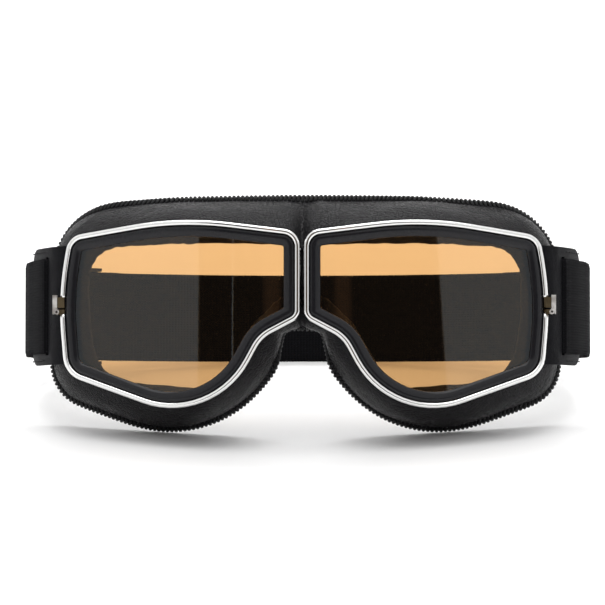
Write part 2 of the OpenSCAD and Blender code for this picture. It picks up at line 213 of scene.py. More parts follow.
def tube(path, radius, sides=8, closed=False):
    """Sections of a round tube along a path."""
    p = np.asarray(path, float)
    n = len(p)
    t = np.roll(p, -1, 0) - np.roll(p, 1, 0) if closed else np.gradient(p, axis=0)
    t /= np.linalg.norm(t, axis=1)[:, None]
    ref = np.array([0, 0, 1.0])
    out, u = [], None
    for i in range(n):
        if u is None:
            u = np.cross(t[i], ref if abs(t[i][2]) < 0.9 else np.array([1.0, 0, 0]))
        u = u - t[i] * (u @ t[i])
        u /= np.linalg.norm(u)
        v = np.cross(t[i], u)
        r = radius[i] if np.ndim(radius) else radius
        a = np.arange(sides) * 2 * np.pi / sides
        out.append(p[i] + r * (np.cos(a)[:, None] * u + np.sin(a)[:, None] * v))
    return np.array(out)


def many(name, parts, material, **kw):
    """One object from many small closed sweeps."""
    verts, faces = [], []
    base = 0
    for s in parts:
        r, c = s.shape[:2]
        verts.append(s.reshape(-1, 3))
        faces += [tuple(base + k for k in f) for f in grid_faces(r, c)]
        faces += [tuple(base + k for k in range(c - 1, -1, -1)),
                  tuple(base + (r - 1) * c + k for k in range(c))]
        base += r * c
    return new_mesh(name, np.concatenate(verts), faces, material, **kw)


def modifier(ob, kind, **kw):
    m = ob.modifiers.new(kind.lower(), kind)
    for k, v in kw.items():
        setattr(m, k, v)
    return m


def bake(ob):
    """Applies an object's modifiers to its mesh."""
    dg = bpy.context.evaluated_depsgraph_get()
    me = bpy.data.meshes.new_from_object(ob.evaluated_get(dg))
    ob.modifiers.clear()
    ob.data = me
    return ob


def settle(ob, depth=0.0002):
    """Presses whatever would reach under the table flat against it."""
    for v in ob.data.vertices:
        if v.co.z < depth:
            v.co.z = max(0.00003, depth - (depth - v.co.z) * 0.3)
    ob.data.update()


# ------------------------------------------------------------------ materials

def material(name, colour, rough, metal=0.0, **inputs):
    m = bpy.data.materials.new(name)
    m.use_nodes = True
    b = m.node_tree.nodes["Principled BSDF"]
    b.inputs["Base Color"].default_value = (*colour, 1)
    b.inputs["Roughness"].default_value = rough
    b.inputs["Metallic"].default_value = metal
    for k, v in inputs.items():
        b.inputs[k.replace("_", " ")].default_value = v
    return m


def tools(m):
    nt = m.node_tree

    def node(kind, **kw):
        n = nt.nodes.new("ShaderNode" + kind)
        for k, v in kw.items():
            if k in n.inputs.keys():
                n.inputs[k].default_value = v
            else:
                setattr(n, k, v)
        return n

    def link(a, b):
        nt.links.new(a, b)

    return nt.nodes["Principled BSDF"], node, link


def coords(node, link, scale=(1, 1, 1)):
    c = node("TexCoord")
    mp = node("Mapping")
    mp.inputs["Scale"].default_value = scale
    link(c.outputs["Object"], mp.inputs["Vector"])
    return mp.outputs["Vector"]


def noise(node, link, vec, scale, detail=3.0, rough=0.5):
    n = node("TexNoise")
    n.inputs["Scale"].default_value = scale
    n.inputs["Detail"].default_value = detail
    n.inputs["Roughness"].default_value = rough
    link(vec, n.inputs["Vector"])
    return n.outputs["Fac"]


def ramp(node, link, fac, stops):
    r = node("ValToRGB")
    e = r.color_ramp.elements
    while len(e) < len(stops):
        e.new(0.5)
    for k, (pos, col) in enumerate(stops):
        e[k].position = pos
        e[k].color = (*col, 1) if len(col) == 3 else col
    link(fac, r.inputs["Fac"])
    return r.outputs["Color"]


def span(node, link, fac, lo, hi, a=0.0, b=1.0):
    r = node("MapRange")
    r.inputs["From Min"].default_value = a
    r.inputs["From Max"].default_value = b
    r.inputs["To Min"].default_value = lo
    r.inputs["To Max"].default_value = hi
    link(fac, r.inputs["Value"])
    return r.outputs["Result"]


def mathn(node, link, op, a, b=None, clamp=False):
    n = node("Math", operation=op, use_clamp=clamp)
    for k, v in enumerate((a, b)):
        if v is None:
            continue
        if isinstance(v, (int, float)):
            n.inputs[k].default_value = v
        else:
            link(v, n.inputs[k])
    return n.outputs[0]


def bump(node, link, height, strength, distance, normal=None):
    b = node("Bump")
    b.inputs["Strength"].default_value = strength
    b.inputs["Distance"].default_value = distance
    link(height, b.inputs["Height"])
    if normal is not None:
        link(normal, b.inputs["Normal"])
    return b.outputs["Normal"]


def make_chrome(name="chrome", colour=(0.83, 0.83, 0.82), base=0.07):
    m = material(name, colour, base, 1.0)
    b, node, link = tools(m)
    v = coords(node, link)
    smear = noise(node, link, v, 190, 4, 0.6)
    fine = noise(node, link, v, 1500, 2, 0.6)
    link(span(node, link, smear, base * 0.6, base * 2.3, 0.35, 0.75), b.inputs["Roughness"])
    link(ramp(node, link, fine, [(0.25, tuple(c * 0.93 for c in colour)), (0.7, colour)]),
         b.inputs["Base Color"])
    link(bump(node, link, noise(node, link, v, 260, 2), 0.06, 0.0002), b.inputs["Normal"])
    return m


def make_steel(name="dull_steel", colour=(0.28, 0.275, 0.27)):
    m = material(name, colour, 0.42, 0.9)
    b, node, link = tools(m)
    v = coords(node, link)
    link(span(node, link, noise(node, link, v, 700, 4), 0.3, 0.6, 0.3, 0.7), b.inputs["Roughness"])
    link(bump(node, link, noise(node, link, v, 1800, 3), 0.15, 0.0002), b.inputs["Normal"])
    return m


def make_rubber():
    m = material("gasket_rubber", (0.006, 0.006, 0.0075), 0.13, Specular_IOR_Level=0.24)
    b, node, link = tools(m)
    v = coords(node, link)
    link(span(node, link, noise(node, link, v, 240, 4), 0.09, 0.2, 0.3, 0.75), b.inputs["Roughness"])
    dust = noise(node, link, v, 2600, 3)
    link(ramp(node, link, dust, [(0.35, (0.009, 0.009, 0.011)), (0.85, (0.02, 0.02, 0.023))]),
         b.inputs["Base Color"])
    link(bump(node, link, noise(node, link, v, 420, 3), 0.1, 0.0003), b.inputs["Normal"])
    return m


def make_lens():
    m = material("tinted_lens", (0.59, 0.345, 0.145), 0.015, Transmission_Weight=1.0, IOR=1.5)
    m.node_tree.nodes["Principled BSDF"].inputs["Specular Tint"].default_value = (0.78, 0.9, 1.0, 1)
    b, node, link = tools(m)
    v = coords(node, link)
    link(bump(node, link, noise(node, link, v, 45, 2), 0.03, 0.0004), b.inputs["Normal"])
    link(span(node, link, noise(node, link, v, 300, 4, 0.65), 0.005, 0.04, 0.45, 0.8), b.inputs["Roughness"])
    return m


def make_leather(name, colour, grain, strength, rough, wrinkle=0.0, shine=0.12):
    """Grained leather: rounded cells with creases between them, and broader soft wrinkles. The colour is
    darkened in the creases and the wrinkles' hollows and lightened on their crowns: painted shade and
    highlight.
    """
    m = material(name, colour, rough, Specular_IOR_Level=shine)
    b, node, link = tools(m)
    v = coords(node, link)
    warp = node("VectorMath", operation="MULTIPLY_ADD")
    nz = node("TexNoise")
    nz.inputs["Scale"].default_value = grain * 0.35
    link(v, nz.inputs["Vector"])
    link(nz.outputs["Color"], warp.inputs[0])
    warp.inputs[1].default_value = (0.0012, 0.0012, 0.0012)
    link(v, warp.inputs[2])
    cell = node("TexVoronoi", feature="DISTANCE_TO_EDGE")
    cell.inputs["Scale"].default_value = grain
    link(warp.outputs[0], cell.inputs["Vector"])
    crease = span(node, link, cell.outputs["Distance"], 0, 1, 0.0, 0.16)
    pore = noise(node, link, v, grain * 4, 3)
    folds = noise(node, link, coords(node, link, (1, 1.6, 0.6)), 85, 3, 0.6)
    # Painted shade and highlight: the colour darkens in the grain's creases and the folds' hollows and
    # lightens on the fold crowns.
    painted_light_and_shade = mathn(node, link, "MULTIPLY", crease, span(node, link, folds, 0.75, 1.15, 0.3, 0.7))
    dark, light = tuple(c * 0.55 for c in colour), tuple(min(c * 1.35, 1) for c in colour)
    link(ramp(node, link, painted_light_and_shade, [(0.1, dark), (0.95, light)]), b.inputs["Base Color"])
    link(span(node, link, crease, rough + 0.16, rough - 0.04), b.inputs["Roughness"])
    n1 = bump(node, link, folds, 0.2 + wrinkle, 0.0012)
    n2 = bump(node, link, crease, strength, 0.0003, n1)
    link(bump(node, link, pore, 0.12, 0.0001, n2), b.inputs["Normal"])
    return m


def make_thread(name="edge_thread", colour=(0.0065, 0.0065, 0.0072)):
    m = material(name, colour, 0.6, Sheen_Weight=0.02, Sheen_Roughness=0.4, Specular_IOR_Level=0.15)
    b, node, link = tools(m)
    fibre = noise(node, link, coords(node, link, (1, 1, 1)), 3200, 3, 0.7)
    dark, light = tuple(c * 0.5 for c in colour), tuple(c * 2.2 for c in colour)
    link(ramp(node, link, fibre, [(0.3, dark), (0.75, light)]), b.inputs["Base Color"])
    link(bump(node, link, fibre, 0.5, 0.00015), b.inputs["Normal"])
    return m


def make_elastic():
    m = material("elastic", (0.01, 0.01, 0.0115), 0.75,
                 Sheen_Weight=0.004, Sheen_Roughness=0.45, Specular_IOR_Level=0.04)
    b, node, link = tools(m)
    a = node("Attribute", attribute_name="weave")
    sep = node("SeparateXYZ")
    link(a.outputs["Vector"], sep.inputs[0])
    along, across = sep.outputs[0], sep.outputs[1]
    rib = mathn(node, link, "SINE", mathn(node, link, "MULTIPLY", along, 2 * math.pi / 1.15))
    warp = mathn(node, link, "SINE", mathn(node, link, "MULTIPLY", across, math.pi / 0.9))
    warp = mathn(node, link, "ABSOLUTE", warp)
    both = mathn(node, link, "ADD", mathn(node, link, "MULTIPLY", rib, 0.5), warp)
    fuzz = noise(node, link, coords(node, link), 2400, 3, 0.7)
    mix = mathn(node, link, "ADD", mathn(node, link, "MULTIPLY", both, 0.55),
                mathn(node, link, "MULTIPLY", fuzz, 0.6))
    # Painted shade: the colour is darker in the weave's grooves and lighter on its raised ribs, following
    # the same pattern as the bump.
    link(ramp(node, link, mix, [(0.1, (0.002, 0.002, 0.0024)), (0.85, (0.0065, 0.0065, 0.0078))]),
         b.inputs["Base Color"])
    n1 = bump(node, link, both, 0.55, 0.00022)
    link(bump(node, link, fuzz, 0.35, 0.0001, n1), b.inputs["Normal"])
    return m


def make_fleece():
    m = material("face_fleece", (0.012, 0.011, 0.0105), 0.95,
                 Sheen_Weight=0.12, Sheen_Roughness=0.55, Specular_IOR_Level=0.15)
    b, node, link = tools(m)
    v = coords(node, link)
    pile = noise(node, link, v, 1500, 4, 0.8)
    link(ramp(node, link, pile, [(0.3, (0.005, 0.0045, 0.0045)), (0.8, (0.026, 0.024, 0.023))]),
         b.inputs["Base Color"])
    link(bump(node, link, pile, 0.8, 0.0005), b.inputs["Normal"])
    return m


def make_foam():
    m = material("foam", (0.016, 0.016, 0.018), 0.9, Specular_IOR_Level=0.15)
    b, node, link = tools(m)
    v = coords(node, link)
    pore = node("TexVoronoi", feature="F1")
    pore.inputs["Scale"].default_value = 1300
    link(v, pore.inputs["Vector"])
    # Painted shade: the colour is darker in the pores' pits and lighter on the cell walls, following the
    # same field as the bump.
    link(ramp(node, link, pore.outputs["Distance"],
              [(0.1, (0.006, 0.006, 0.0065)), (0.6, (0.024, 0.024, 0.026))]), b.inputs["Base Color"])
    link(bump(node, link, pore.outputs["Distance"], 0.7, 0.0004), b.inputs["Normal"])
    return m


def make_plastic():
    m = material("slider_plastic", (0.02, 0.02, 0.021), 0.42)
    b, node, link = tools(m)
    v = coords(node, link)
    link(span(node, link, noise(node, link, v, 500, 4), 0.34, 0.55, 0.3, 0.7), b.inputs["Roughness"])
    link(bump(node, link, noise(node, link, v, 3000, 2), 0.25, 0.0001), b.inputs["Normal"])
    return m


CHROME = make_chrome()
SATIN = make_chrome("satin_chrome", (0.93, 0.92, 0.9), 0.3)
BRASS = make_chrome("dull_brass", (0.16, 0.125, 0.075), 0.35)
STEEL = make_steel()
BLACKED = make_steel("blacked_steel", (0.05, 0.05, 0.052))
RUBBER = make_rubber()
LENS = make_lens()
LEATHER = make_leather("mask_leather", (0.0075, 0.0071, 0.0083), 850, 0.85, 0.4, 0.4)
TAB_LEATHER = make_leather("tab_leather", (0.006, 0.006, 0.0075), 1500, 0.3, 0.42, shine=0.04)
THREAD = make_thread()
ELASTIC = make_elastic()
FLEECE = make_fleece()
FOAM = make_foam()
PLASTIC = make_plastic()

SIDES = (("left", 1.0, "left_eyepiece"), ("right", -1.0, "right_eyepiece"))


def place(points, sign):
    return np.asarray(points, float) * np.array([sign, 1, 1])


# ------------------------------------------------------------------ chrome rims

def rim_sections():
    """Sections of the rim bead, from just below the latch gap round to just above it."""
    profile = [(0.0, 2.95), (0.0, 1.1), (0.06, 0.66), (0.26, 0.3), (0.56, 0.09), (0.95, 0.0), (1.34, 0.09),
               (1.64, 0.3), (1.84, 0.66), (1.9, 1.1), (1.9, 5.35), (0.92, 5.35), (0.92, 2.98)]
    rings = [closed_outline(RIM, max(u, 1e-4)) for u, d in profile]
    n = len(rings[0])
    zl, zh = LATCH_Z - LATCH_GAP / 2, LATCH_Z + LATCH_GAP / 2

    def cross(ring, z):
        for i in range(n):
            a, b = ring[i], ring[(i + 1) % n]
            if a[0] > 70 and b[0] > 70 and (a[1] - z) * (b[1] - z) <= 0 and a[1] != b[1]:
                return i, a + (b - a) * (z - a[1]) / (b[1] - a[1])
        raise ValueError

    start, stop = cross(rings[0], zl)[0], cross(rings[0], zh)[0]
    order = [(start + 1 + k) % n for k in range((stop - start) % n)]
    cols = []
    for (u, d), ring in zip(profile, rings):
        a, b = cross(ring, zl)[1], cross(ring, zh)[1]
        keep = ring[order].copy()
        keep[:4, 1] = np.minimum(keep[:4, 1], zl - 0.01)
        keep[-4:, 1] = np.maximum(keep[-4:, 1], zh + 0.01)
        pts = np.vstack([[a], keep, [b]])
        cols.append(np.stack([pts[:, 0], wrap_y(pts[:, 0], d), pts[:, 1]], -1))
    return np.stack(cols, 1)


RIM_SECTIONS = rim_sections()
for side, sign, body in SIDES:
    rim = sweep(side + "_chrome_rim", place(RIM_SECTIONS, sign), CHROME)
    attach(rim, body)
    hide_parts(side + "_rim")


# ------------------------------------------------------------------ gaskets and lenses

def ring_solid(profile):
    cols = []
    for u, d in profile:
        q = closed_outline(RIM, u)
        cols.append(np.stack([q[:, 0], wrap_y(q[:, 0], d), q[:, 1]], -1))
    return np.stack(cols, 1)


GASKET = [(1.93, 5.35), (1.93, 1.35), (2.1, 0.95), (2.45, 0.66), (2.95, 0.52), (3.5, 0.55),
          (4.1, 0.72), (4.7, 1.0), (5.2, 1.32), (5.5, 1.6), (5.58, 1.74), (5.45, 1.79),
          (4.02, 1.79), (4.02, 3.82), (5.5, 3.82), (5.58, 3.95),
          (5.5, 4.7), (5.1, 5.3), (4.6, 5.38)]

for side, sign, body in SIDES:
    g = sweep(side + "_rubber_gasket", place(ring_solid(GASKET), sign), RUBBER, close=True)
    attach(g, body)
    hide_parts(side + "_gasket")

    # the lens: columns of a wrapped plate between the low and high edge of its outline
    o = closed_outline(RIM, 4.05, arc=40, line=40)
    lo_x, hi_x = o[:, 0].min(), o[:, 0].max()
    t = (1 - np.cos(np.linspace(0, np.pi, 121))) / 2
    xs = lo_x + (hi_x - lo_x) * (0.35 * t + 0.65 * np.linspace(0, 1, 121))
    xs[0] += 0.02
    xs[-1] -= 0.02
    rows = []
    ring = np.vstack([o, o[:1]])
    for x in xs:
        zs = []
        for a, b in zip(ring[:-1], ring[1:]):
            if (a[0] - x) * (b[0] - x) < 0:
                zs.append(a[1] + (b[1] - a[1]) * (x - a[0]) / (b[0] - a[0]))
        rows.append((min(zs), max(zs)))
    m = 12
    verts, faces = [], []
    for behind in (LENS_FRONT, LENS_FRONT + LENS_T):
        for x, (a, b) in zip(xs, rows):
            for k in range(m + 1):
                verts.append((x, float(wrap_y(x, behind)), a + (b - a) * k / m))
    n = len(xs)
    w = m + 1
    for i in range(n - 1):
        for k in range(m):
            a = i * w + k
            faces.append((a, a + 1, a + w + 1, a + w))
            c = n * w + a
            faces.append((c, c + w, c + w + 1, c + 1))
        for k in (0, m):
            a, c = i * w + k, n * w + i * w + k
            faces.append((a, a + w, c + w, c))
    for i in (0, n - 1):
        for k in range(m):
            a = i * w + k
            faces.append((a, n * w + a, n * w + a + 1, a + 1))
    lens = new_mesh(side + "_tinted_lens", place(verts, sign), faces, LENS)
    modifier(lens, "EDGE_SPLIT", split_angle=math.radians(40))
    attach(lens, body)
    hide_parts(side + "_lens")


# ------------------------------------------------------------------ carried-over metal and plastic

def keep_node(name, mat, width=0.0):
    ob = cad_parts[name]
    if not ob.data.materials:
        ob.data.materials.append(mat)
    for s in ob.material_slots:
        s.link = "OBJECT"
        s.material = mat
    if width:
        modifier(ob, "BEVEL", width=width / 1000, segments=3,
                 limit_method="ANGLE", angle_limit=math.radians(50))
    return ob


for side, sign, body in SIDES:
    keep_node(side + "_rim_lugs", BRASS, 0.18)
    keep_node(side + "_latch", SATIN, 0.12)
    keep_node(side + "_latch_pin", CHROME, 0.1)
    keep_node(side + "_backing_ring", STEEL)
    keep_node(side + "_hinge_leaf", BLACKED, 0.1)
    keep_node(side + "_hinge_rivets", BLACKED, 0.08)
    keep_node(side + "_slider", PLASTIC, 0.3)
keep_node("hinge_pin", BLACKED, 0.08)


# ------------------------------------------------------------------ the mask

def whole(corners, ends):
    """A closed outline of the whole mask: the wearer's left half from brow to nose, then the right."""
    half = open_outline(corners, ends)
    bx, nx = ends[0][0], ends[1][0]
    nose = [np.array([nx - 2 * nx * k / 6, ends[1][1]]) for k in range(1, 6)]
    brow = [np.array([-bx + 2 * bx * k / 12, ends[0][1]]) for k in range(1, 12)]
    other = half[::-1] * np.array([-1, 1])
    return np.vstack([half, nose, other, brow])


W_FRONT = whole(FRONT, [(7, 27.1), (3, -4.17)])
W_EDGE = whole(EDGE, [(7, 38.9), (3, -6)])
W_IN = whole(INSIDE, [(7, 22.6), (3, 5.2)])


def relax(path, times, keep=0.5):
    """Rounds a closed path a little, and evens its points."""
    p = path.copy()
    for _ in range(times):
        p = p * (1 - keep) + (np.roll(p, 1, 0) + np.roll(p, -1, 0)) * keep / 2
    return p


# Between the two rims the leather dips into the notches above and below the hinge.
near = closed_outline(RIM, 0.0)
high_notch = near[(near[:, 0] < 9) & (near[:, 1] > 19)]
low_notch = near[(near[:, 0] < 8) & (near[:, 1] < 3)]
high_notch, low_notch = (q[q[:, 0].argsort()] for q in (high_notch, low_notch))
for q in W_FRONT:
    if abs(q[0]) < 7.01 and q[1] > 15:
        dip = 2.2 * max(0, 1 - abs(q[0]) / 3)
        q[1] = np.interp(abs(q[0]), high_notch[:, 0], high_notch[:, 1]) + 0.25 - dip
    elif abs(q[0]) < 3.01 and q[1] < 0:
        q[1] = np.interp(abs(q[0]), low_notch[:, 0], low_notch[:, 1]) - 0.25

W_EDGE = relax(W_EDGE, 6)
W_IN = relax(W_IN, 8)
N_PATH = len(W_EDGE)


def normals(path):
    t = np.roll(path, -1, 0) - np.roll(path, 1, 0)
    t /= np.linalg.norm(t, axis=1)[:, None]
    return np.stack([t[:, 1], -t[:, 0]], -1)


N_EDGE = normals(W_EDGE)
ARC = np.concatenate([[0], np.cumsum(np.linalg.norm(np.diff(W_EDGE, axis=0), axis=1))])


def smooth_noise(x, y, scale, seed):
    """A soft, repeatable bump field from a few waves."""
    r = np.random.default_rng(seed)
    out = 0
    for _ in range(7):
        a, ph = r.uniform(0, 2 * np.pi), r.uniform(0, 2 * np.pi)
        k = 2 * np.pi / (scale * r.uniform(0.7, 1.5))
        out = out + np.sin(k * (x * math.cos(a) + y * math.sin(a)) + ph)
    return out / 7


# Where the leather meets the rims. At the brow and nose it dips between the two rims to cover the hinge.
front_y = wrap_y(W_FRONT[:, 0], 3.35)
A = np.stack([W_FRONT[:, 0], front_y, W_FRONT[:, 1]], -1)
B = np.stack([W_EDGE[:, 0], face_y(W_EDGE[:, 0], W_EDGE[:, 1]) - 0.2, W_EDGE[:, 1]], -1)
out2 = -N_EDGE

ROWS, LEATHER_T = 15, 1.0


def leather_section(inner):
    """Points from the rim to the edge, crowned outwards; the inner row lies under the outer one."""
    cols = []
    for k in range(ROWS):
        s = k / (ROWS - 1)
        p = A * (1 - s) + B * s
        crown = 1.25 * math.sin(math.pi * s ** 0.85) - 0.35 * math.exp(-((s - 0.9) / 0.07) ** 2)
        wob = smooth_noise(ARC, np.full(N_PATH, 11.0 * s), 26, 3) * 0.55 * math.sin(math.pi * s)
        fine = smooth_noise(ARC, np.full(N_PATH, 17.0 * s), 9, 5) * 0.22 * math.sin(math.pi * s)
        brow = np.exp(-np.square(W_EDGE[:, 0] / 26)) * (W_EDGE[:, 1] > 0)
        pleat = brow * 0.55 * np.sin(W_EDGE[:, 0] * 2 * np.pi / 6.3 + 2.2 * s) * math.sin(math.pi * s)
        lift = np.maximum(crown + wob + fine + pleat, -0.5) - (LEATHER_T if inner else 0.0)
        q = p.copy()
        q[:, 0] += out2[:, 0] * lift
        q[:, 2] += out2[:, 1] * lift
        if k == 0:
            q = A.copy()
            if inner:
                q[:, 0] += -out2[:, 0] * 0.85
                q[:, 2] += -out2[:, 1] * 0.85
        cols.append(q)
    return cols


outer = leather_section(False)
inner = leather_section(True)
section = np.stack(outer + inner[::-1], 1)
cover = sweep("leather_mask", section, LEATHER, close=True)
modifier(cover, "SUBSURF", levels=1, render_levels=1)
bake(cover)
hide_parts("left_cover", "right_cover", "brow_pad", "nose_pad")

# The pad: a fat roll behind the leather, its face crowned, its inner wall sloping to the rim.
NF = normals(W_FRONT)
pad_cols = []
in_pts = np.stack([W_IN[:, 0], face_y(W_IN[:, 0], W_IN[:, 1]), W_IN[:, 1]], -1)
fuzz = rng.uniform(-0.28, 0.28, N_PATH)
in_pts[:, 0] += NF[:, 0] * fuzz
in_pts[:, 2] += NF[:, 1] * fuzz
edge_in = B.copy()
edge_in[:, 0] += N_EDGE[:, 0] * 1.5
edge_in[:, 2] += N_EDGE[:, 1] * 1.5
edge_in[:, 1] = face_y(edge_in[:, 0], edge_in[:, 2])
front_in = A.copy()
dirs = W_IN - W_FRONT
dlen = np.linalg.norm(dirs, axis=1)[:, None]
step = np.minimum(4.0, dlen[:, 0] * 0.6)[:, None]
front_in[:, [0, 2]] = W_FRONT + dirs / dlen * step
front_in[:, 1] = wrap_y(front_in[:, 0], 7.1)
front_out = A.copy()
front_out[:, [0, 2]] = W_FRONT + dirs / dlen * 1.1
front_out[:, 1] = wrap_y(front_out[:, 0], 7.1)


def lerp(a, b, s):
    return a * (1 - s) + b * s


pad_cols.append(front_out)
for s in (0.25, 0.5, 0.75):
    pad_cols.append(lerp(front_out, edge_in - np.array([0, 1.5, 0]), s))
pad_cols.append(edge_in - np.array([0, 1.0, 0]))
FACE_STEPS = (0.0, 0.08, 0.2, 0.35, 0.5, 0.65, 0.8, 0.92, 1.0)
first_face = len(pad_cols)
for s in FACE_STEPS:
    q = lerp(edge_in, in_pts, s)
    q[:, 1] = face_y(q[:, 0], q[:, 2])
    crown = 1.5 * max(math.sin(math.pi * s), 0.0) ** 0.7 - 1.15 * (s > 0.95) - 0.55 * (s < 0.02)
    q[:, 1] += crown + smooth_noise(q[:, 0], q[:, 2], 18, 9) * 0.18
    pad_cols.append(q)
last_face = len(pad_cols) - 1
for s in (0.12, 0.35, 0.6, 0.85, 1.0):
    q = lerp(in_pts - np.array([0, 1.4, 0]), front_in, s)
    q[:, 1] += smooth_noise(q[:, 0] * 1.3, q[:, 2] + 7 * s, 20, 12) * 0.25 * math.sin(math.pi * s)
    pad_cols.append(q)
pad = np.stack(pad_cols, 1)
cols = pad.shape[1]
idx = [int(first_face - 1 <= j <= last_face) for _ in range(N_PATH) for j in range(cols)]
cushion = sweep("face_pad", pad, FOAM, close=True, mats=[FOAM, FLEECE], face_mats=idx)
modifier(cushion, "SUBSURF", levels=1, render_levels=1)
bake(cushion)
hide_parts("left_foam", "right_foam", "left_lining", "right_lining")

# The overlocked edge: a core cord, wound with slanting thread.
core_r, pitch = 0.85, 1.5
n_edge = np.stack([W_EDGE[:, 0] + N_EDGE[:, 0] * 0.3, face_y(W_EDGE[:, 0], W_EDGE[:, 1]) + 0.95,
                   W_EDGE[:, 1] + N_EDGE[:, 1] * 0.3], -1)
closed = np.vstack([n_edge, n_edge[:1]])
length = np.concatenate([[0], np.cumsum(np.linalg.norm(np.diff(closed, axis=0), axis=1))])
total = length[-1]


def along(s):
    s = np.mod(s, total)
    return np.stack([np.interp(s, length, closed[:, k]) for k in range(3)], -1)


s_core = np.arange(0, total, 1.0)
core = sweep("edge_cord", tube(along(s_core), core_r, 10, closed=True), THREAD, close=True)
# Each loop runs over the leather, round the edge, across the face side and back through the pad.
rim_way = A - B
rim_way /= np.linalg.norm(rim_way, axis=1)[:, None]
lift_way = np.stack([out2[:, 0], np.zeros(N_PATH), out2[:, 1]], -1)
inner_way = np.stack([N_EDGE[:, 0], np.zeros(N_PATH), N_EDGE[:, 1]], -1)
back_way = np.array([0, 1.0, 0])
centre = np.stack([W_EDGE[:, 0], face_y(W_EDGE[:, 0], W_EDGE[:, 1]), W_EDGE[:, 1]], -1)
stations = [
    centre + rim_way * 3.0 + lift_way * 0.2, centre + rim_way * 2.3 + lift_way * 0.6,
    centre + rim_way * 1.2 + lift_way * 0.7, centre + rim_way * 0.2 + lift_way * 0.6,
    centre + lift_way * 0.5 + back_way * 0.7, centre + lift_way * 0.1 + back_way * 1.4,
    centre + inner_way * 0.5 + back_way * 1.9, centre + inner_way * 1.3 + back_way * 1.85,
    centre + inner_way * 2.2 + back_way * 1.3, centre + inner_way * 1.6 + back_way * 0.1,
    centre + inner_way * 0.8 + rim_way * 0.9, centre + rim_way * 2.4 - lift_way * 0.5]
slant = (0.0, 0.04, 0.1, 0.2, 0.28, 0.36, 0.46, 0.56, 0.66, 0.76, 0.86, 0.94)
flat = np.concatenate([ARC, [ARC[-1] + np.linalg.norm(W_EDGE[0] - W_EDGE[-1])]])
rounds = int(round(flat[-1] / pitch))
loops = []
for k in range(rounds):
    for st, sl in zip(stations, slant):
        at = (k + sl) * flat[-1] / rounds
        ring = np.vstack([st, st[:1]])
        loops.append([np.interp(at, flat, ring[:, i]) for i in range(3)])
wind = np.array(loops)
wind = np.vstack([wind, wind[:1]])
keep = np.arange(len(wind) * 2 - 1) / 2
wind = np.stack([np.interp(keep, np.arange(len(wind)), wind[:, i]) for i in range(3)], -1)[:-1]
for _ in range(2):
    wind = wind * 0.5 + (np.roll(wind, 1, 0) + np.roll(wind, -1, 0)) * 0.25
thick = 0.6 + 0.04 * rng.random(len(wind))
winding = sweep("edge_winding", tube(wind, thick, 6, closed=True), THREAD, close=True)
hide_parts("left_edge_stitching", "right_edge_stitching")

for o in (cover, cushion, core, winding):
    settle(o)
    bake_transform(o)


# ------------------------------------------------------------------ straps

def on_arc(c, r, a):
    a = np.radians(np.asarray(a, float))
    return np.stack([c[0] + r * np.cos(a), c[1] + r * np.sin(a)], -1)


def strap_line(out, parts):
    """Centre line of a layer, moved out by a distance, in plan."""
    pts = []
    for kind, a, b in parts:
        c, r = {"side": (SIDE_C, SIDE_R), "corner": (CORNER_C, CORNER_R), "back": (BACK_C, BACK_R),
                "fold": (on_arc(SIDE_C, TAB_R, FOLD_AT), 0.0)}[kind]
        rr = (r + out) if kind != "fold" else PLY / 2
        n = max(int(abs(b - a) * math.pi / 180 * max(rr, 1) / (0.55 if kind != "fold" else 0.2)), 2)
        seg = on_arc(c, rr, np.linspace(a, b, n + 1))
        pts.append(seg if not pts else seg[1:])
    return np.vstack(pts)


def strap_solid(name, line, width=STRAP_W, thick=STRAP_T, wave=0.05, rib=1.15):
    """A woven band on edge along a plan line, its long edges scalloped by the cross ribs."""
    d = np.gradient(line, axis=0)
    d /= np.linalg.norm(d, axis=1)[:, None]
    nrm = np.stack([d[:, 1], -d[:, 0]], -1)
    s = np.concatenate([[0], np.cumsum(np.linalg.norm(np.diff(line, axis=0), axis=1))])
    prof = []
    rows = 22
    for k in range(rows + 1):
        prof.append((0.5, -0.5 + k / rows))
    for k in range(rows + 1):
        prof.append((-0.5, 0.5 - k / rows))
    secs, weave = [], []
    for i in range(len(line)):
        ridge = math.sin(s[i] * 2 * math.pi / rib)
        w = width / 2 - 0.12 + 0.12 * ridge
        sec = []
        for u, v in prof:
            edge = max(abs(v) * 2 - 0.955, 0) / 0.045
            t = thick / 2 * math.sqrt(max(1 - edge ** 2 * 0.85, 0.05)) - 0.03 + 0.03 * ridge
            x, y = line[i] + nrm[i] * t * (1 if u > 0 else -1)
            sec.append((x, y, v * 2 * w))
            weave.append((s[i], v * width, 0.0))
        secs.append(sec)
    ob = sweep(name, fallen(secs), ELASTIC)
    at = ob.data.attributes.new("weave", "FLOAT_VECTOR", "POINT")
    at.data.foreach_set("vector", np.array(weave, np.float32).ravel())
    return ob, s


half = strap_line(0, [("side", FOLD_AT, 0), ("corner", 0, TURN), ("back", TURN, 90)])
line = np.vstack([half, (half[::-1] * np.array([-1, 1]))[1:]])
strap, _ = strap_solid("elastic_strap", line)
settle(strap)
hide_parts("left_strap", "right_strap", "strap_back")
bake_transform(strap)

for side, sign, body in SIDES:
    fold = strap_line(0, [("fold", FOLD_AT, FOLD_AT - 180)])
    rest = strap_line(-PLY, [("side", FOLD_AT, 0), ("corner", 0, RETURN_END)])
    line = np.vstack([fold, rest[1:]]) * np.array([sign, 1])
    ret, _ = strap_solid(side + "_strap_inner_layer", line)
    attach(ret, body)
    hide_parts(side + "_strap_return")


# ------------------------------------------------------------------ tabs

